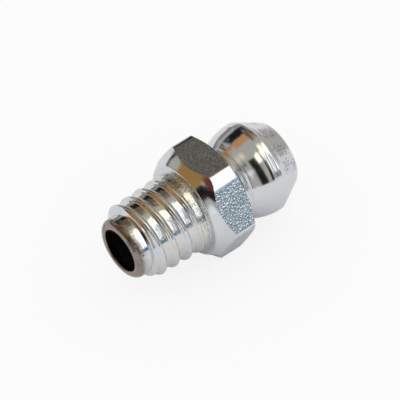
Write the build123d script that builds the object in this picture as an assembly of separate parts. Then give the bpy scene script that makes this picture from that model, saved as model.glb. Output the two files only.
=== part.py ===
from build123d import *
from math import atan, cos, degrees, pi, radians, sin, sqrt, tan
import os

# Straight hydraulic grease nipple with a short M6 x 1 taper thread and a 9/32 inch hexagon.
# X runs along the axis from the thread end (x = 0) to the nose. Z is square to a flat of the
# hexagon, and the nipple lies on the flat below. All sizes are in millimetres and degrees.
# An angle is measured from the axis, and a rounding is a radius.

# Shank: a plain pilot ring, the rolled taper thread and a plain collar under the hexagon
pilot_dia = 4.2
pilot_length = 1.05
rim_rounding = 0.45
thread_pitch = 1.0
crest_dia = 5.3             # over the crests, where the thread starts
taper = 1 / 16              # growth of the diameter for each unit of length
thread_depth = 0.42
flank_slope = 30            # of one flank, from the plane square to the axis
crest_crown = 0.12          # height of the round top of a crest
root_flat = 0.1
thread_foot = 0.14          # how deep the thread is rooted in the core
thread_turn = 90            # turns the helix about the axis
lead_in_angle = 50
thread_length = 3.55        # from the pilot ring to the collar
collar_length = 0.6
collar_drop = 0.03          # the collar was not rolled, and stands this much below the last crest

# Hexagon, with a round pad and a long chamfer on the thread side and a short chamfer behind
across_flats = 7.14
pad_dia = 6.7
pad_length = 0.48
chamfer_angle = 50
corner_edge_length = 1.4
back_chamfer_dia = 7.2
back_chamfer_angle = 60

# Head that the coupler grips: a turned neck, a round shoulder, a land and the nose
neck_dia = 4.8
neck_length = 0.55
head_dia = 6.4
shoulder_angle = 32
shoulder_rounding = 3.0
neck_rounding = 0.6
land_length = 1.2           # from the top of the shoulder's slope to the ridge
nose_length = 1.75
nose_angle = 29
nose_chamfer = 0.14         # its length along the axis
nose_chamfer_angle = 60

# Grease way through the body, from the thread end
bore_dia = 3.0
bore_mouth_chamfer = 0.1
lip_start = 5.9             # where the swaged lip rises from the bore
lip_slope = 45
lip_dia = 1.8
lip_land = 0.3
seat_angle = 40
orifice_dia = 1.8
orifice_length = 0.25
orifice_chamfer = 0.08

# Check valve
ball_dia = 2.5
seat_gap = 0.02             # between the ball and its seat
wire_dia = 0.3
coil_dia = 2.3              # of the spring, to the middle of the wire
coil_gap = 0.02             # between closed coils, and between the spring and what it bears on
closed_turns = 0.9          # at each end of the spring
active_turns = 3
points_per_turn = 12
wire_sides = 6              # the round wire is drawn six-sided, to keep the model light


def run(drop, angle):
    """Length along the axis over which a cone of this angle drops by a radius."""
    return drop / tan(radians(angle))


# Places along the axis, worked out from the sizes
collar_start = pilot_length + thread_length
hex_start = collar_start + collar_length
corner_radius = across_flats / sqrt(3)
pad_end = hex_start + pad_length
corner_start = pad_end + run(corner_radius - pad_dia / 2, chamfer_angle)
corner_end = corner_start + corner_edge_length
hex_end = corner_end + run(corner_radius - back_chamfer_dia / 2, back_chamfer_angle)
shoulder_start = hex_end + neck_length
shoulder_end = shoulder_start + run((head_dia - neck_dia) / 2, shoulder_angle)
ridge = shoulder_end + land_length
nose_face = ridge + nose_length
nose_corner = nose_face - nose_chamfer
nose_corner_radius = head_dia / 2 - (nose_corner - ridge) * tan(radians(nose_angle))
nose_face_radius = nose_corner_radius - nose_chamfer * tan(radians(nose_chamfer_angle))
lip_end = lip_start + run((bore_dia - lip_dia) / 2, lip_slope) + lip_land
seat_end = nose_face - orifice_length
seat_start = seat_end - run((bore_dia - orifice_dia) / 2, seat_angle)
seat_apex = seat_end + run(orifice_dia / 2, seat_angle)
ball_centre = seat_apex - (ball_dia / 2 + seat_gap) / sin(radians(seat_angle))


def crest_radius(x):
    """Radius over the crests of the taper thread at a place along the axis."""
    return crest_dia / 2 + (x - pilot_length) * taper / 2


def root_radius(x):
    """Radius at the bottom of the thread at a place along the axis."""
    return crest_radius(x) - thread_depth


def turned(outline):
    """A solid turned about the axis from a list of (x, radius, corner rounding)."""
    points = [(x, radius) for x, radius, rounding in outline]
    points = [(points[0][0], 0), *points, (points[-1][0], 0)]
    roundings = [rounding for x, radius, rounding in outline]
    side = FilletPolyline(*points, radius=roundings)
    axis_side = Line(points[-1], points[0])
    return revolve(make_face(side.edges() + axis_side.edges()), Axis.X)


def shank():
    """Pilot ring, the core under the thread, and the collar, sunk into the hexagon."""
    collar_radius = crest_radius(collar_start) - collar_drop
    core_end = collar_start - run(collar_radius - root_radius(collar_start), lead_in_angle)
    return turned([
        (0, pilot_dia / 2, rim_rounding),
        (pilot_length, pilot_dia / 2, 0),
        (pilot_length, root_radius(pilot_length), 0),
        (core_end, root_radius(core_end), 0),
        (collar_start, collar_radius, 0),
        (corner_end, collar_radius, 0),
    ])


def thread_envelope():
    """What the ridge is trimmed to: a lead-in from the pilot ring, and an end in the collar."""
    widest = crest_radius(collar_start)
    return turned([
        (pilot_length, pilot_dia / 2, 0),
        (pilot_length + run(widest - pilot_dia / 2, lead_in_angle), widest, 0),
        (collar_start + collar_length / 2, widest, 0),
    ])


def thread():
    """Rolled thread: one ridge with rounded crests, swept along a taper helix."""
    start = pilot_length - thread_pitch / 2
    length = collar_start + collar_length - start
    path = Helix(
        thread_pitch,
        length,
        root_radius(start),
        center=(start, 0, 0),
        direction=(1, 0, 0),
        cone_angle=degrees(atan(taper / 2)),
    )
    flank_height = thread_depth - crest_crown
    half_root = (thread_pitch - root_flat) / 2
    half_crest = half_root - flank_height * tan(radians(flank_slope))
    sides = Polyline(
        (flank_height, half_crest),
        (0, half_root),
        (-thread_foot, half_root),
        (-thread_foot, -half_root),
        (0, -half_root),
        (flank_height, -half_crest),
    )
    crest = ThreePointArc(sides @ 1, (thread_depth, 0), sides @ 0)
    outward = Vector(0, (path @ 0).Y, (path @ 0).Z)
    section = Plane(path @ 0, x_dir=outward, z_dir=path % 0)
    profile = section * make_face(sides.edges() + crest.edges())
    ridge_solid = sweep(profile, path=path, is_frenet=True)
    return Rot(thread_turn, 0, 0) * ridge_solid & thread_envelope()


def hexagon():
    """Drawn hexagon, chamfered by turning on both sides."""
    prism = extrude(Plane.YZ * RegularPolygon(across_flats / 2, 6, major_radius=False), hex_end)
    chamfers = turned([
        (hex_start, pad_dia / 2, 0),
        (pad_end, pad_dia / 2, 0),
        (corner_start, corner_radius, 0),
        (corner_end, corner_radius, 0),
        (hex_end, back_chamfer_dia / 2, 0),
    ])
    return prism & chamfers


def head():
    """Neck, round shoulder, land and nose, starting inside the hexagon."""
    return turned([
        (corner_start, neck_dia / 2, 0),
        (shoulder_start, neck_dia / 2, neck_rounding),
        (shoulder_end, head_dia / 2, shoulder_rounding),
        (ridge, head_dia / 2, 0),
        (nose_corner, nose_corner_radius, 0),
        (nose_face, nose_face_radius, 0),
    ])


def grease_way():
    """Bore, swaged lip, spring chamber, seat cone and orifice, as one turned core."""
    bore = bore_dia / 2
    lip = lip_dia / 2
    orifice = orifice_dia / 2
    lip_crest = lip_end - lip_land
    return turned([
        (0, bore + bore_mouth_chamfer, 0),
        (bore_mouth_chamfer, bore, 0),
        (lip_start, bore, 0),
        (lip_crest, lip, 0),
        (lip_end, lip, 0),
        (lip_end, bore, 0),
        (seat_start, bore, 0),
        (seat_end, orifice, 0),
        (nose_face - orifice_chamfer, orifice, 0),
        (nose_face, orifice + orifice_chamfer, 0),
    ])


def nipple_body():
    """The one piece of steel: turned, thread rolled, then swaged behind the spring."""
    return shank() + thread() + hexagon() + head() - grease_way()


def check_ball():
    return Pos(ball_centre, 0, 0) * Sphere(ball_dia / 2)


def spring():
    """Compression spring with closed ends, from the lip to the back of the ball."""
    wire = wire_dia / 2
    coil = coil_dia / 2
    reach = ball_dia / 2 + wire + coil_gap
    start = lip_end + wire + coil_gap
    end = ball_centre - sqrt(reach**2 - coil**2)
    closed_pitch = wire_dia + coil_gap
    turns = 2 * closed_turns + active_turns
    extra = end - start - turns * closed_pitch
    count = round(turns * points_per_turn)
    points = []
    for i in range(count + 1):
        turn = turns * i / count
        share = min(max((turn - closed_turns) / active_turns, 0), 1)
        rise = share - sin(2 * pi * share) / (2 * pi)
        x = start + closed_pitch * turn + extra * rise
        angle = 2 * pi * turn
        points.append((x, coil * cos(angle), coil * sin(angle)))
    path = Spline(*points)
    section = Plane(path @ 0, z_dir=path % 0) * RegularPolygon(wire, wire_sides)
    return sweep(section, path=path, is_frenet=True)


os.makedirs("parts", exist_ok=True)
export_step(nipple_body(), "parts/nipple_body.step")
export_step(check_ball(), "parts/check_ball.step")
export_step(spring(), "parts/spring.step")
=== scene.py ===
import math

import bmesh
import bpy
from mathutils import Matrix, Vector


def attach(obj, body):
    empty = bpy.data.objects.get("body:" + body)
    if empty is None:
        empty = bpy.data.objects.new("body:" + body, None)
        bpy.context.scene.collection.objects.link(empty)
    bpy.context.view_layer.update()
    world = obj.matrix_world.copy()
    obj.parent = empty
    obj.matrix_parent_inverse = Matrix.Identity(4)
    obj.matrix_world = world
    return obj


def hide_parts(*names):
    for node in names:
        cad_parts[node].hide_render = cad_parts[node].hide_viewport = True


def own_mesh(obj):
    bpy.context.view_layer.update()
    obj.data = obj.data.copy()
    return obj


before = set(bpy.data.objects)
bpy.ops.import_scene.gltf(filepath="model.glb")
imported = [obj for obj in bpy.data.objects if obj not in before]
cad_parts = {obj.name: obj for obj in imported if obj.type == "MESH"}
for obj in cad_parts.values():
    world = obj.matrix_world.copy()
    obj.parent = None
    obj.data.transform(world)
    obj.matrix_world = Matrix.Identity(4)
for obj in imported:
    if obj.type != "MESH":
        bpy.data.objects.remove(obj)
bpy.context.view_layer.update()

mm = 0.001
weld = 0.0004  # vertices nearer to each other than this, in millimetres, become one
snap = 1e-6  # a vertex this near to a cutting plane counts as on it
skewLine = Vector((1, 0.3713, 0.1137))  # square to nothing drawn, so that no two elements tie along it
scene = bpy.context.scene


def linear(code):
    channels = [int(code[i:i + 2], 16) / 255 for i in (0, 2, 4)]
    return [c / 12.92 if c <= 0.04045 else ((c + 0.055) / 1.055) ** 2.4 for c in channels] + [1.0]


def addNode(tree, kind, links=None, stops=None, **settings):
    # a setting is a property, a socket's name, or in0, in1 ... for a socket's number
    node = tree.nodes.new(kind)
    for name, value in settings.items():
        if name.startswith("in") and name[2:].isdigit():
            node.inputs[int(name[2:])].default_value = value
        elif hasattr(node, name):
            setattr(node, name, value)
        else:
            node.inputs[name.replace("_", " ")].default_value = value
    for name, source in (links or {}).items():
        tree.links.new(source, node.inputs[name])
    for i, (place, code) in enumerate(stops or []):
        stop = node.color_ramp.elements[i] if i < 2 else node.color_ramp.elements.new(place)
        stop.position = place
        stop.color = linear(code)
    return node


def newMaterial(name):
    material = bpy.data.materials.new(name)
    material.use_nodes = True
    material.node_tree.nodes.clear()
    return material, material.node_tree


def alongSkewLine(element):
    verts = getattr(element, "verts", [element])
    return sum(v.co.dot(skewLine) for v in verts) / len(verts)


def putInOrder(bm):
    # spin and create_uvsphere list what they make in another order each run
    for elements in (bm.verts, bm.edges, bm.faces):
        elements.sort(key=alongSkewLine)


def finishPiece(bm, name, materials, body, sharpAngle=28):
    bmesh.ops.remove_doubles(bm, verts=bm.verts, dist=weld)
    bmesh.ops.recalc_face_normals(bm, faces=bm.faces)
    putInOrder(bm)
    for edge in bm.edges:
        edge.smooth = edge.is_manifold and edge.calc_face_angle() < math.radians(sharpAngle)
    for face in bm.faces:
        face.smooth = True
    bmesh.ops.scale(bm, vec=(mm, mm, mm), verts=bm.verts)  # drawn in millimetres up to here
    mesh = bpy.data.meshes.new(name)
    bm.to_mesh(mesh)
    bm.free()
    for material in materials:
        mesh.materials.append(material)
    piece = bpy.data.objects.new(name, mesh)
    scene.collection.objects.link(piece)
    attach(piece, body)
    print(f"{name}: {len(mesh.polygons)} faces")
    return piece


def outerRadius(vert):
    return math.hypot(vert.co.y, vert.co.z)


def setRadius(vert, radius):
    share = radius / outerRadius(vert)
    vert.co.y *= share
    vert.co.z *= share


# nipple body: a turned bar with a rolled thread and a drawn hexagon; sizes in millimetres and degrees
nipple = {
    "shank": {
        "pilotRadius": 2.1, "pilotEnd": 1.0, "rimRounding": 0.45, "stepSlope": 72,
        "pitch": 1.0, "firstCrest": 1.1, "crestRadius": 2.65, "taper": 1 / 32, "depth": 0.22, "crown": 0.03,
        "flankSlope": 33, "rootFlat": 0.56, "rootRounding": 0.05,
        "collarStart": 4.6, "collarDrop": 0.03, "collarEnd": 5.2, "collarRounding": 0.05,
        "plainFrom": 4.75,  # no thread beyond this
        "station": 0.025, "skin": (1.8, 2.78),  # the thread is pressed into what lies between these radii
    },
    "hexagon": {
        "acrossFlats": 7.14, "flatEdge": 0.01, "rubCuts": 7,
        # how far each corner is rubbed down on the flat before it and on the flat after it
        "rubs": ((0.2, 0.2), (0.2, 0.5), (0.4, 0.95), (0.2, 0.2), (0.2, 0.2), (0.2, 0.2)),
        "faceRadius": 3.2, "faceEnd": 5.24, "faceRounding": 0.18, "coneRadius": 3.57, "coneEnd": 5.8,
        "coneRounding": 2.0, "cornerStart": 6.328, "cornerEdge": 1.4, "backRadius": 3.6, "backChamfer": 60,
    },
    "head": {
        "neckRadius": 2.4, "neckLength": 0.55, "neckRounding": 0.25, "radius": 3.2,
        "shoulderSlope": 32, "shoulderRounding": 3.0, "landLength": 1.2, "ridgeRounding": 0.14,
        "noseLength": 1.75, "noseSlope": 29, "noseRounding": 0.22,
    },
    "greaseWay": {
        "boreRadius": 1.5, "mouthRounding": 0.1, "lipStart": 5.9, "lipRadius": 0.9, "lipSlope": 45,
        "lipLand": 0.3, "lipRounding": 0.05, "seatSlope": 40, "orificeRadius": 0.9, "orificeLength": 0.25,
        "orificeRounding": 0.05,
    },
    "stepsAround": 240, "degreesPerSegment": 6,
}
finishes = {"turned": 0, "drawn": 1, "rolled": 2}  # the body's material slots


def run(drop, slope):
    return drop / math.tan(math.radians(slope))


def drawOutline(bm, corners):
    # corners are (x, radius, rounding), closed in a loop, and each rounding is bevelled in place
    verts = [bm.verts.new((x, radius, 0)) for x, radius, rounding in corners]
    for i, vert in enumerate(verts):
        bm.edges.new((verts[i - 1], vert))
    bevels = []
    for i, (x, radius, rounding) in enumerate(corners):
        before = (verts[i].co - verts[i - 1].co).normalized()
        after = (verts[(i + 1) % len(verts)].co - verts[i].co).normalized()
        turn = before.angle(after)
        if rounding:
            segments = max(3, round(math.degrees(turn) / nipple["degreesPerSegment"]))
            bevels.append((verts[i], rounding * math.tan(turn / 2), segments))
    for vert, offset, segments in bevels:
        bmesh.ops.bevel(bm, geom=[vert], affect="VERTICES", offset=offset, segments=segments,
                        profile=0.5, material=-1, clamp_overlap=False)


def addStations(bm):
    # the outer outline gets a station at every step, from the pilot ring to the end of the collar
    s = nipple["shank"]
    for edge in bm.edges[:]:
        a, b = edge.verts
        middle = (a.co + b.co) / 2
        cuts = int(abs(a.co.x - b.co.x) / s["station"])
        inStretch = s["pilotEnd"] < middle.x < s["collarEnd"] - s["collarRounding"]
        if inStretch and middle.y > s["skin"][0] and cuts:
            bmesh.ops.subdivide_edges(bm, edges=[edge], cuts=cuts)


def collarRadius():
    s = nipple["shank"]
    return s["crestRadius"] + (s["collarStart"] - s["pilotEnd"]) * s["taper"] - s["collarDrop"]


def rollThread(bm):
    # the skin of the shank is pressed to the thread's form; phase counts turns past the first crest
    s = nipple["shank"]
    halfRoot = (s["pitch"] - s["rootFlat"]) / 2
    flankRise = 1 / math.tan(math.radians(s["flankSlope"]))
    halfCrest = halfRoot - (s["depth"] - s["crown"]) / flankRise
    stepRise = math.tan(math.radians(s["stepSlope"]))
    collar = collarRadius()
    for vert in bm.verts:
        x = vert.co.x
        if not s["pilotEnd"] < x < s["collarEnd"] - s["collarRounding"] or outerRadius(vert) < s["skin"][0]:
            continue
        root = s["crestRadius"] + (x - s["pilotEnd"]) * s["taper"] - s["depth"]
        turn = math.atan2(vert.co.z, vert.co.y) / math.tau % 1
        phase = (x - s["firstCrest"]) / s["pitch"] - turn
        away = abs(phase - round(phase)) * s["pitch"] if round(phase) >= 0 else 1
        if away < halfCrest:
            rise = s["depth"] - s["crown"] * (away / halfCrest) ** 2
        else:
            rise = (halfRoot - away) * flankRise
            rise = (rise + math.hypot(rise, s["rootRounding"])) / 2  # a small hollow where flank meets root
        runOut = collar - max(0, s["collarStart"] - x) * flankRise
        radius = min(max(root + rise, runOut), collar + s["collarDrop"])
        if x > s["plainFrom"]:
            radius = collar
        setRadius(vert, min(radius, s["pilotRadius"] + (x - s["pilotEnd"]) * stepRise))


def cutFlat(bm, angle, distance, finish):
    # one pass of the cutter: everything beyond the plane goes, and the cut is closed
    normal = Vector((0, math.cos(angle), math.sin(angle)))
    faces = [f for f in bm.faces if any(v.co.dot(normal) > distance for v in f.verts)]
    edges = dict.fromkeys(e for f in faces for e in f.edges)  # unlike a set, it keeps their order
    verts = dict.fromkeys(v for f in faces for v in f.verts)
    cut = bmesh.ops.bisect_plane(bm, geom=[*faces, *edges, *verts], dist=snap, plane_co=normal * distance,
                                 plane_no=normal, clear_outer=True)
    rim = [e for e in cut["geom_cut"] if isinstance(e, bmesh.types.BMEdge)]
    rim.sort(key=alongSkewLine)
    filled = bmesh.ops.edgeloop_fill(bm, edges=rim, mat_nr=finishes[finish], use_smooth=True)
    return filled["faces"]


def millHexagon(bm):
    # each flat is one cut, and each corner is worn round by a fan of cuts that touch a smooth curve
    hexagon = nipple["hexagon"]
    half = hexagon["acrossFlats"] / 2
    cuts = hexagon["rubCuts"]
    for side in range(6):
        flat = cutFlat(bm, math.radians(90 + 60 * side), half, "drawn")
        bmesh.ops.inset_region(bm, faces=flat, thickness=hexagon["flatEdge"], use_even_offset=True)
    for side, (before, after) in enumerate(hexagon["rubs"]):
        corner = Vector((half / math.cos(math.radians(30)), 0))
        for cut in range(cuts):
            share = (cut + 0.5) / cuts
            start = corner + Matrix.Rotation(math.radians(-120), 2) @ Vector((before * (1 - share), 0))
            end = corner + Matrix.Rotation(math.radians(120), 2) @ Vector((after * share, 0))
            lean = math.atan2(start.x - end.x, end.y - start.y)
            distance = start.x * math.cos(lean) + start.y * math.sin(lean)
            cutFlat(bm, math.radians(60 * side) + lean, distance, "turned")


def makeBody():
    s = nipple["shank"]
    h = nipple["hexagon"]
    k = nipple["head"]
    g = nipple["greaseWay"]
    cornerRadius = h["acrossFlats"] / math.sqrt(3)
    cornerEnd = h["cornerStart"] + h["cornerEdge"]
    hexEnd = cornerEnd + run(cornerRadius - h["backRadius"], h["backChamfer"])
    neckEnd = hexEnd + k["neckLength"]
    shoulderEnd = neckEnd + run(k["radius"] - k["neckRadius"], k["shoulderSlope"])
    ridge = shoulderEnd + k["landLength"]
    nose = ridge + k["noseLength"]
    noseRadius = k["radius"] - k["noseLength"] * math.tan(math.radians(k["noseSlope"]))
    lipCrest = g["lipStart"] + run(g["boreRadius"] - g["lipRadius"], g["lipSlope"])
    seatEnd = nose - g["orificeLength"]
    seatStart = seatEnd - run(g["boreRadius"] - g["orificeRadius"], g["seatSlope"])
    bm = bmesh.new()
    drawOutline(bm, [
        (0, g["boreRadius"], g["mouthRounding"]),
        (0, s["pilotRadius"], s["rimRounding"]),
        (s["pilotEnd"], s["pilotRadius"], 0),
        (s["collarEnd"], collarRadius(), s["collarRounding"]),
        (h["faceEnd"], h["faceRadius"], h["faceRounding"]),
        (h["coneEnd"], h["coneRadius"], h["coneRounding"]),
        (h["cornerStart"], cornerRadius, 0),
        (cornerEnd, cornerRadius, 0),
        (hexEnd, h["backRadius"], 0),
        (hexEnd, k["neckRadius"], k["neckRounding"]),
        (neckEnd, k["neckRadius"], k["neckRounding"]),
        (shoulderEnd, k["radius"], k["shoulderRounding"]),
        (ridge, k["radius"], k["ridgeRounding"]),
        (nose, noseRadius, k["noseRounding"]),
        (nose, g["orificeRadius"], g["orificeRounding"]),
        (seatEnd, g["orificeRadius"], 0),
        (seatStart, g["boreRadius"], 0),
        (lipCrest + g["lipLand"], g["boreRadius"], 0),
        (lipCrest + g["lipLand"], g["lipRadius"], g["lipRounding"]),
        (lipCrest, g["lipRadius"], 0),
        (g["lipStart"], g["boreRadius"], 0),
    ])
    addStations(bm)
    bmesh.ops.spin(bm, geom=bm.verts[:] + bm.edges[:], cent=(0, 0, 0), axis=(1, 0, 0),
                   angle=math.tau, steps=nipple["stepsAround"], use_merge=True)
    putInOrder(bm)
    rollThread(bm)
    for face in bm.faces:
        middle = face.calc_center_median()
        radius = math.hypot(middle.y, middle.z)
        if s["pilotEnd"] < middle.x < s["collarEnd"] and s["skin"][0] < radius < s["skin"][1]:
            face.material_index = finishes["rolled"]
    millHexagon(bm)
    return bm


# bright zinc plating over a turned surface: a mirror broken by fine rings, with a few stains and rough spots
turnedFinish = {
    "ringWidth": 0.19, "ringLength": 5.0, "ringDepth": 0.05,  # real feed marks are too fine to show
    "ripple": 0.9, "rippleDepth": 0.006, "spot": 0.11, "patch": 0.9,
    "length": 13.0,  # the ramps run over this length, from the thread end to past the nose
    "rings": [(0.0, "707070"), (0.08, "707070"), (0.41, "404040"), (0.60, "606060"), (0.64, "ffffff"),
              (0.69, "ffffff"), (0.71, "202020"), (0.79, "202020"), (0.81, "ffffff"), (0.865, "ffffff"),
              (0.89, "606060"), (1.0, "606060")],  # how deep the rings are
    # the first stops make the thread end darker and browner than the rest
    "colours": [(0.0, "9a8d85"), (0.022, "94877f"), (0.04, "d0cfcd"), (0.07, "dbdde1"), (1.0, "dbdde1")],
    "patches": [(0.0, "ffffff"), (0.035, "ffffff"), (0.06, "101010"), (0.43, "101010"), (0.45, "909090"),
                (0.49, "606060"), (0.56, "202020"), (0.85, "181818"), (0.88, "d0d0d0"),
                (1.0, "d0d0d0")],  # how strong the stains are
    "spotFade": (0.47, 0.6), "patchFade": (0.45, 0.6), "heightFade": (-0.2, 0.8), "spotColour": "5a5754",
    "roughness": 0.12, "stainedRoughness": 0.34,
}


def turnedZinc():
    t = turnedFinish
    material, tree = newMaterial("zincPlatedTurnedSteel")
    place = addNode(tree, "ShaderNodeTexCoord").outputs["Object"]
    axes = addNode(tree, "ShaderNodeSeparateXYZ", {"Vector": place})
    share = addNode(tree, "ShaderNodeMapRange", {"Value": axes.outputs["X"]}, From_Max=t["length"] * mm)
    upper = addNode(tree, "ShaderNodeMapRange", {"Value": axes.outputs["Z"]},
                    From_Min=t["heightFade"][0] * mm, From_Max=t["heightFade"][1] * mm)
    stretched = addNode(tree, "ShaderNodeMapping", {"Vector": place},
                        Scale=[1 / (t["ringWidth"] * mm)] + [1 / (t["ringLength"] * mm)] * 2)
    rings = addNode(tree, "ShaderNodeTexNoise", {"Vector": stretched.outputs[0]}, Scale=1.0, Detail=2.0)
    ringShare = addNode(tree, "ShaderNodeValToRGB", {"Fac": share.outputs[0]}, stops=t["rings"])
    ringHeight = addNode(tree, "ShaderNodeMath", {0: rings.outputs["Fac"], 1: ringShare.outputs[0]},
                         operation="MULTIPLY")
    ripple = addNode(tree, "ShaderNodeTexNoise", {"Vector": place}, Scale=1 / (t["ripple"] * mm), Detail=1.0)
    rippled = addNode(tree, "ShaderNodeBump", {"Height": ripple.outputs["Fac"]},
                      Distance=t["rippleDepth"] * mm)
    ringed = addNode(tree, "ShaderNodeBump", {"Height": ringHeight.outputs[0], "Normal": rippled.outputs[0]},
                     Distance=t["ringDepth"] * mm)
    spots = addNode(tree, "ShaderNodeTexNoise", {"Vector": place}, Scale=1 / (t["spot"] * mm), Detail=3.0)
    patches = addNode(tree, "ShaderNodeTexNoise", {"Vector": place}, Scale=1 / (t["patch"] * mm), Detail=1.0)
    spotShare = addNode(tree, "ShaderNodeMapRange", {"Value": spots.outputs["Fac"]},
                        From_Min=t["spotFade"][0], From_Max=t["spotFade"][1])
    patchShare = addNode(tree, "ShaderNodeMapRange", {"Value": patches.outputs["Fac"]},
                         From_Min=t["patchFade"][0], From_Max=t["patchFade"][1])
    patchPlace = addNode(tree, "ShaderNodeValToRGB", {"Fac": share.outputs[0]}, stops=t["patches"])
    facing = addNode(tree, "ShaderNodeMath", {0: patchShare.outputs[0], 1: upper.outputs[0]},
                     operation="MULTIPLY")
    inPatch = addNode(tree, "ShaderNodeMath", {0: facing.outputs[0], 1: patchPlace.outputs[0]},
                      operation="MULTIPLY")
    stained = addNode(tree, "ShaderNodeMath", {0: inPatch.outputs[0], 1: spotShare.outputs[0]},
                      operation="MULTIPLY")
    clean = addNode(tree, "ShaderNodeValToRGB", {"Fac": share.outputs[0]}, stops=t["colours"])
    colour = addNode(tree, "ShaderNodeMix", {0: stained.outputs[0], 6: clean.outputs[0]}, data_type="RGBA",
                     in7=linear(t["spotColour"]))
    dulled = addNode(tree, "ShaderNodeMapRange", {"Value": inPatch.outputs[0]}, To_Min=t["roughness"],
                     To_Max=t["stainedRoughness"])
    shader = addNode(tree, "ShaderNodeBsdfPrincipled", {"Base Color": colour.outputs[2],
                     "Roughness": dulled.outputs[0], "Normal": ringed.outputs[0]}, Metallic=1.0)
    addNode(tree, "ShaderNodeOutputMaterial", {"Surface": shader.outputs[0]})
    return material


# bright zinc plating over a rolled thread: smooth floors, streaks along the groove, and a coarse run-out
rolledFinish = {
    "streakWidth": 0.1, "streakLength": 1.8, "streakDepth": 0.007,  # real streaks are finer than 0.1
    "dent": 0.34, "dentDepth": 0.013, "grain": 0.13, "grainDepth": 0.006,
    "runOutFade": (4.2, 4.9), "heightFade": (-0.4, 1.2), "roughness": 0.14, "runOutRoughness": 0.22,
    "tint": 0.8, "colours": [(0.36, "d4d8e0"), (0.5, "dddedf"), (0.64, "dcd8cc")],
    "runOutColours": [(0.36, "b2afa4"), (0.48, "dad8d0"), (0.64, "f0f0ec")],
}


def rolledZinc():
    r = rolledFinish
    material, tree = newMaterial("zincPlatedRolledSteel")
    place = addNode(tree, "ShaderNodeTexCoord").outputs["Object"]
    axes = addNode(tree, "ShaderNodeSeparateXYZ", {"Vector": place})
    late = addNode(tree, "ShaderNodeMapRange", {"Value": axes.outputs["X"]},
                   From_Min=r["runOutFade"][0] * mm, From_Max=r["runOutFade"][1] * mm)
    upper = addNode(tree, "ShaderNodeMapRange", {"Value": axes.outputs["Z"]},
                    From_Min=r["heightFade"][0] * mm, From_Max=r["heightFade"][1] * mm)
    runOut = addNode(tree, "ShaderNodeMath", {0: late.outputs[0], 1: upper.outputs[0]}, operation="MULTIPLY")
    stretched = addNode(tree, "ShaderNodeMapping", {"Vector": place},
                        Scale=[1 / (r["streakWidth"] * mm)] + [1 / (r["streakLength"] * mm)] * 2)
    streaks = addNode(tree, "ShaderNodeTexNoise", {"Vector": stretched.outputs[0]}, Scale=1.0, Detail=2.0)
    dents = addNode(tree, "ShaderNodeTexNoise", {"Vector": place}, Scale=1 / (r["dent"] * mm), Detail=1.0)
    grain = addNode(tree, "ShaderNodeTexNoise", {"Vector": place}, Scale=1 / (r["grain"] * mm), Detail=1.0)
    coarse = addNode(tree, "ShaderNodeMath", {0: grain.outputs["Fac"], 1: runOut.outputs[0]},
                     operation="MULTIPLY")
    dented = addNode(tree, "ShaderNodeBump", {"Height": dents.outputs["Fac"]}, Distance=r["dentDepth"] * mm)
    streaked = addNode(tree, "ShaderNodeBump", {"Height": streaks.outputs["Fac"],
                       "Normal": dented.outputs[0]}, Distance=r["streakDepth"] * mm)
    grained = addNode(tree, "ShaderNodeBump", {"Height": coarse.outputs[0], "Normal": streaked.outputs[0]},
                      Distance=r["grainDepth"] * mm)
    tint = addNode(tree, "ShaderNodeTexNoise", {"Vector": place}, Scale=1 / (r["tint"] * mm), Detail=2.0)
    tinted = addNode(tree, "ShaderNodeValToRGB", {"Fac": tint.outputs["Fac"]}, stops=r["colours"])
    speckled = addNode(tree, "ShaderNodeValToRGB", {"Fac": grain.outputs["Fac"]}, stops=r["runOutColours"])
    colour = addNode(tree, "ShaderNodeMix", {0: runOut.outputs[0], 6: tinted.outputs[0],
                     7: speckled.outputs[0]}, data_type="RGBA")
    dulled = addNode(tree, "ShaderNodeMapRange", {"Value": runOut.outputs[0]}, To_Min=r["roughness"],
                     To_Max=r["runOutRoughness"])
    shader = addNode(tree, "ShaderNodeBsdfPrincipled", {"Base Color": colour.outputs[2],
                     "Roughness": dulled.outputs[0], "Normal": grained.outputs[0]}, Metallic=1.0)
    addNode(tree, "ShaderNodeOutputMaterial", {"Surface": shader.outputs[0]})
    return material


# zinc plating over the drawn flats of the bar: the crystals of the plating sparkle on a satin ground
drawnFinish = {
    "crystal": 0.14, "crystalDepth": 0.011, "roughness": 0.17,  # real crystals are too fine to show
    "colours": [(0.34, "c0c6ca"), (0.5, "d0d5d8"), (0.6, "d8dcde"), (0.7, "fafbfc")],
}


def drawnZinc():
    d = drawnFinish
    material, tree = newMaterial("zincPlatedDrawnSteel")
    place = addNode(tree, "ShaderNodeTexCoord").outputs["Object"]
    crystals = addNode(tree, "ShaderNodeTexNoise", {"Vector": place}, Scale=1 / (d["crystal"] * mm),
                       Detail=1.5)
    facets = addNode(tree, "ShaderNodeTexVoronoi", {"Vector": place}, Scale=1 / (d["crystal"] * mm))
    colour = addNode(tree, "ShaderNodeValToRGB", {"Fac": crystals.outputs["Fac"]}, stops=d["colours"])
    bumped = addNode(tree, "ShaderNodeBump", {"Height": facets.outputs["Distance"]},
                     Distance=d["crystalDepth"] * mm)
    shader = addNode(tree, "ShaderNodeBsdfPrincipled", {"Base Color": colour.outputs[0],
                     "Normal": bumped.outputs[0]}, Metallic=1.0, Roughness=d["roughness"])
    addNode(tree, "ShaderNodeOutputMaterial", {"Surface": shader.outputs[0]})
    return material


nippleBody = finishPiece(makeBody(), "nippleBody", [turnedZinc(), drawnZinc(), rolledZinc()], "body")
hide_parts("nipple_body")

# check ball: ground and lapped, with the ring that its seat has rubbed on it
ball = {
    "centre": 11.657, "radius": 1.25, "around": 64, "along": 32,
    "seatRing": (12.41, 12.51), "polish": 0.07, "rubbed": 0.2, "cloud": 0.4,
    "colours": [(0.4, "c6c6c8"), (0.6, "cfcfd0")],
}


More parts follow.
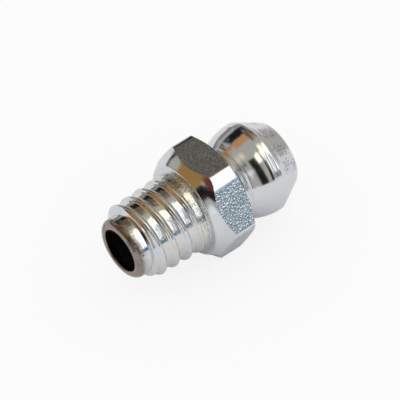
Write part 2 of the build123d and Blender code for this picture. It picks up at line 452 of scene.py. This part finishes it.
def lappedSteel():
    # hardened chrome steel, lapped to a mirror: the colour is even, and only the rubbed ring is duller
    material, tree = newMaterial("lappedChromeSteel")
    place = addNode(tree, "ShaderNodeTexCoord").outputs["Object"]
    along = addNode(tree, "ShaderNodeSeparateXYZ", {"Vector": place}).outputs["X"]
    edges = [x * mm for x in ball["seatRing"]]
    ring = addNode(tree, "ShaderNodeMath", {0: along}, operation="COMPARE", in1=sum(edges) / 2,
                   in2=(edges[1] - edges[0]) / 2)
    clouds = addNode(tree, "ShaderNodeTexNoise", {"Vector": place}, Scale=1 / (ball["cloud"] * mm),
                     Detail=2.0)
    colour = addNode(tree, "ShaderNodeValToRGB", {"Fac": clouds.outputs["Fac"]}, stops=ball["colours"])
    dulled = addNode(tree, "ShaderNodeMapRange", {"Value": ring.outputs[0]}, To_Min=ball["polish"],
                     To_Max=ball["rubbed"])
    shader = addNode(tree, "ShaderNodeBsdfPrincipled", {"Base Color": colour.outputs[0],
                     "Roughness": dulled.outputs[0]}, Metallic=1.0)
    addNode(tree, "ShaderNodeOutputMaterial", {"Surface": shader.outputs[0]})
    return material


def makeBall():
    bm = bmesh.new()
    bmesh.ops.create_uvsphere(bm, u_segments=ball["around"], v_segments=ball["along"],
                              radius=ball["radius"])
    bmesh.ops.rotate(bm, verts=bm.verts, cent=(0, 0, 0), matrix=Matrix.Rotation(math.pi / 2, 3, "Y"))
    bmesh.ops.translate(bm, verts=bm.verts, vec=(ball["centre"], 0, 0))
    return bm


checkBall = finishPiece(makeBall(), "checkBall", [lappedSteel()], "ball")
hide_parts("check_ball")

# spring: wound from drawn wire, closed at both ends, between the swaged lip and the ball
coil = {
    "start": 6.97, "end": 10.824, "radius": 1.15, "wire": 0.15, "wireSides": 12, "closedPitch": 0.32,
    "closedTurns": 0.9, "activeTurns": 3, "stepsPerTurn": 40, "foot": 6.8, "squashedTo": 0.76,
    "drawLines": (9000, 1200, 1200),  # for each metre; real ones are finer
    "drawDepth": 0.003, "roughness": 0.28, "colours": [(0.35, "7f8286"), (0.65, "a2a4a7")],
}


def drawnWire():
    # patented carbon steel wire: drawn to a satin grey, with faint lines that follow the wire
    material, tree = newMaterial("drawnSpringWire")
    place = addNode(tree, "ShaderNodeTexCoord").outputs["Object"]
    stretched = addNode(tree, "ShaderNodeMapping", {"Vector": place}, Scale=coil["drawLines"])
    lines = addNode(tree, "ShaderNodeTexNoise", {"Vector": stretched.outputs[0]}, Scale=1.0, Detail=2.0)
    colour = addNode(tree, "ShaderNodeValToRGB", {"Fac": lines.outputs["Fac"]}, stops=coil["colours"])
    bumped = addNode(tree, "ShaderNodeBump", {"Height": lines.outputs["Fac"]},
                     Distance=coil["drawDepth"] * mm)
    shader = addNode(tree, "ShaderNodeBsdfPrincipled", {"Base Color": colour.outputs[0],
                     "Normal": bumped.outputs[0]}, Metallic=1.0, Roughness=coil["roughness"])
    addNode(tree, "ShaderNodeOutputMaterial", {"Surface": shader.outputs[0]})
    return material


def makeSpring():
    c = coil
    turnCount = 2 * c["closedTurns"] + c["activeTurns"]
    spare = (c["end"] - c["start"] - turnCount * c["closedPitch"]) / c["activeTurns"]
    bm = bmesh.new()
    section = bmesh.ops.create_circle(bm, cap_ends=True, segments=c["wireSides"], radius=c["wire"])
    bmesh.ops.translate(bm, verts=section["verts"], vec=(c["start"], c["radius"], 0))
    front = section["verts"] + bm.edges[:] + bm.faces[:]
    steps = round(turnCount * c["stepsPerTurn"])
    for step in range(steps):
        turn = (step + 0.5) * turnCount / steps
        active = c["closedTurns"] < turn < turnCount - c["closedTurns"]
        advance = (c["closedPitch"] + (spare if active else 0)) * turnCount / steps
        spun = bmesh.ops.spin(bm, geom=front, cent=(0, 0, 0), axis=(1, 0, 0), dvec=(advance, 0, 0),
                              angle=math.tau * turnCount / steps, steps=1)
        front = spun["geom_last"]
    return bm


ballSpring = finishPiece(makeSpring(), "ballSpring", [drawnWire()], "body", sharpAngle=50)
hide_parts("spring")
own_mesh(ballSpring)

# camera: millimetres and degrees, and the clipping distances in metres
view = {
    "aim": (5.510, -1.508, 1.877), "azimuth": -34.50, "elevation": 45.01, "roll": -6.17,
    "distance": 250, "lens": 357.6, "sensor": 36, "clip": (0.01, 10),
}


def pointAt(azimuth, elevation):
    a = math.radians(azimuth)
    e = math.radians(elevation)
    return Vector((math.sin(a) * math.cos(e), -math.cos(a) * math.cos(e), math.sin(e)))


def placeCamera():
    back = pointAt(view["azimuth"], view["elevation"])
    turn = back.to_track_quat("Z", "Y").to_matrix() @ Matrix.Rotation(math.radians(view["roll"]), 3, "Z")
    camera = bpy.data.objects.new("camera", bpy.data.cameras.new("camera"))
    place = (Vector(view["aim"]) + back * view["distance"]) * mm
    camera.matrix_world = Matrix.Translation(place) @ turn.to_4x4()
    camera.data.sensor_width = view["sensor"]
    camera.data.lens = view["lens"]
    camera.data.clip_start, camera.data.clip_end = view["clip"]
    scene.collection.objects.link(camera)
    scene.camera = camera
    print("camera placed")


placeCamera()

# studio: white paper under the part, its size in metres, and the room that its bright plating mirrors
studio = {"floorColour": "f6f6f6", "floorGlow": 0.82, "floorSize": 1.5, "world": 0.92, "room": "b9b5ad"}
# at is azimuth and elevation, size is half width and half height, and turn tilts the card, all in degrees;
# soft is the share of a card that fades out at its edge
cards = [
    {"name": "wall", "at": (180, 58), "size": (21, 15), "colour": "b38458", "glow": 1.25, "soft": 0.5},
    {"name": "cupboard", "at": (131, 57), "size": (9, 11), "colour": "8a6a3a", "soft": 0.6},
    {"name": "shelf", "at": (170, 36), "size": (21, 15), "colour": "0a0d16", "soft": 0.3},
    {"name": "box", "at": (184, 31), "size": (3, 6), "colour": "3a617e", "glow": 1.1, "soft": 0.6},
    {"name": "panel", "at": (143, 46), "size": (12, 14), "colour": "655e56", "soft": 0.3},
    {"name": "gap", "at": (156, 25), "size": (7, 10), "colour": "07080c", "soft": 0.3},
    {"name": "sideboard", "at": (165, 6), "size": (20, 9), "colour": "827f7b", "glow": 1.2, "soft": 0.4},
    {"name": "photographer", "at": (-68, 30), "size": (12, 30), "colour": "130f0e", "soft": 0.25},
    {"name": "wardrobe", "at": (-120, 31), "size": (29, 26), "colour": "94703e", "glow": 1.25, "soft": 0.25},
    {"name": "sleeve", "at": (-85, 20), "size": (12, 14), "colour": "6c3028", "soft": 0.4},
    {"name": "skirting", "at": (-135, 3), "size": (60, 5), "colour": "141a28", "soft": 0.5},
    {"name": "sill", "at": (7, 17), "size": (11, 14), "colour": "b3a999", "glow": 1.2, "soft": 0.3},
    {"name": "window", "at": (31, 31), "size": (5.5, 32), "turn": -14, "colour": "f4f9ff", "glow": 1.8,
     "soft": 0.12},
    {"name": "lowerPane", "at": (24, 4), "size": (10, 11), "colour": "5888a4", "glow": 0.8, "soft": 0.5},
    {"name": "skylight", "at": (32, 66), "size": (27, 11), "colour": "fff9e2", "glow": 1.7, "soft": 0.3},
    {"name": "lamp", "at": (-88, 68), "size": (13, 7), "colour": "e6d9b8", "glow": 1.1, "soft": 0.8},
    {"name": "door", "at": (-40, 20), "size": (9, 24), "colour": "e6ecf2", "glow": 1.15, "soft": 0.3},
    {"name": "blind", "at": (-25, 45), "size": (4, 16), "colour": "ddd0a4", "glow": 1.1, "soft": 0.6},
    {"name": "column", "at": (-13, 31), "size": (8, 40), "turn": 12, "colour": "05060c", "soft": 0.12},
]


def hangCards(tree, direction):
    # each card is a rectangle with a soft edge on the sky, laid over the ones before it
    oneSide = 0.9  # keeps a card off the far side of the sky
    seen = None
    for card in cards:
        middle = pointAt(*card["at"])
        colour = [c * card.get("glow", 1.0) for c in linear(card["colour"])]
        right = Vector((0, 0, 1)).cross(middle).normalized()
        facing = Matrix((right, middle.cross(right), middle)).transposed()
        facing = facing @ Matrix.Rotation(math.radians(card.get("turn", 0)), 3, "Z")
        size = [math.sin(math.radians(c)) for c in card["size"]] + [oneSide]
        place = addNode(tree, "ShaderNodeMapping", {"Vector": direction}, vector_type="TEXTURE",
                        Location=middle, Rotation=facing.to_euler(), Scale=size)
        spread = addNode(tree, "ShaderNodeVectorMath", {0: place.outputs[0]}, operation="ABSOLUTE")
        sides = addNode(tree, "ShaderNodeSeparateXYZ", {0: spread.outputs[0]})
        larger = addNode(tree, "ShaderNodeMath", {0: sides.outputs[0], 1: sides.outputs[1]},
                         operation="MAXIMUM")
        outside = addNode(tree, "ShaderNodeMath", {0: larger.outputs[0], 1: sides.outputs[2]},
                          operation="MAXIMUM")
        edge = addNode(tree, "ShaderNodeMapRange", {"Value": outside.outputs[0]},
                       interpolation_type="SMOOTHSTEP", From_Min=1.0, From_Max=1 - card["soft"])
        laid = addNode(tree, "ShaderNodeMix", {0: edge.outputs[0]}, data_type="RGBA", label=card["name"],
                       in6=linear(studio["room"]), in7=colour)
        if seen:
            tree.links.new(seen, laid.inputs[6])
        seen = laid.outputs[2]
    return seen


def makeWorld():
    # the metal mirrors the cards, and everything else is lit by a plain white sky
    world = bpy.data.worlds.new("studio")
    scene.world = world
    world.use_nodes = True
    tree = world.node_tree
    tree.nodes.clear()
    direction = addNode(tree, "ShaderNodeTexCoord").outputs["Generated"]
    mirrored = addNode(tree, "ShaderNodeBackground", {"Color": hangCards(tree, direction)}, Strength=1.0)
    plain = addNode(tree, "ShaderNodeBackground", Color=(1, 1, 1, 1), Strength=studio["world"])
    path = addNode(tree, "ShaderNodeLightPath")
    both = addNode(tree, "ShaderNodeMixShader", {0: path.outputs["Is Glossy Ray"], 1: plain.outputs[0],
                                                 2: mirrored.outputs[0]})
    addNode(tree, "ShaderNodeOutputWorld", {"Surface": both.outputs[0]})
    print(f"sky: {len(cards)} cards")


def makeFloor():
    # matt white paper that glows a little to the camera, so that it comes out white and keeps its shadow
    bm = bmesh.new()
    bmesh.ops.create_grid(bm, x_segments=1, y_segments=1, size=studio["floorSize"])
    bmesh.ops.translate(bm, verts=bm.verts, vec=(0, 0, -nipple["hexagon"]["acrossFlats"] / 2 * mm))
    mesh = bpy.data.meshes.new("floor")
    bm.to_mesh(mesh)
    bm.free()
    floor = bpy.data.objects.new("floor", mesh)
    scene.collection.objects.link(floor)
    material, tree = newMaterial("whitePaper")
    paper = addNode(tree, "ShaderNodeBsdfDiffuse", Color=linear(studio["floorColour"]))
    glow = addNode(tree, "ShaderNodeEmission", Color=(1, 1, 1, 1), Strength=1.0)
    path = addNode(tree, "ShaderNodeLightPath")
    share = addNode(tree, "ShaderNodeMath", {0: path.outputs["Is Camera Ray"]}, operation="MULTIPLY",
                    in1=studio["floorGlow"])
    both = addNode(tree, "ShaderNodeMixShader", {0: share.outputs[0], 1: paper.outputs[0],
                                                 2: glow.outputs[0]})
    addNode(tree, "ShaderNodeOutputMaterial", {"Surface": both.outputs[0]})
    mesh.materials.append(material)
    print("floor laid")


makeWorld()
makeFloor()
scene.view_settings.view_transform = "Standard"
